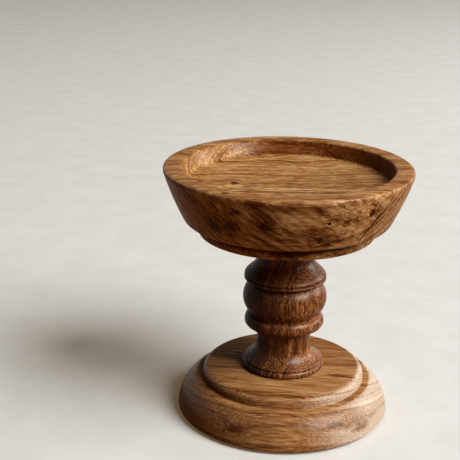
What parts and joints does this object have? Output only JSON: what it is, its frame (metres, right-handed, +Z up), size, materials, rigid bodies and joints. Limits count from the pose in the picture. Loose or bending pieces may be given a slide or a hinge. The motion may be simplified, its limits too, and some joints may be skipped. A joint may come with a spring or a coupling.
{
  "type": "candle stand",
  "caption": "Turned wooden pillar candle stand with a shallow flat-floored dish, a beaded spindle stem and a stepped round base.",
  "frame": {"origin": "centre of the stand on the surface it stands on", "axes": "+Z up along the turning axis; X along the grain of the dish and base"},
  "size_m": [0.1198, 0.1198, 0.1259],
  "materials": {
    "dish_wood": "satin oiled mid-brown hardwood with swirling figure and dark streaks",
    "stem_wood": "satin oiled dark red-brown hardwood, grain upright",
    "base_wood": "satin oiled light brown hardwood, grain across",
    "dowel_wood": "bare pale hardwood",
    "screw_steel": "zinc plated",
    "felt": "dark brown pressed felt"
  },
  "bodies": {
    "root": {"dish": "dish_wood", "stem": "stem_wood", "base": "base_wood", "dish_dowel": "dowel_wood", "stem_screw": "screw_steel", "felt_pad_1": "felt", "felt_pad_2": "felt", "felt_pad_3": "felt", "felt_pad_4": "felt"}
  },
  "joints": []
}
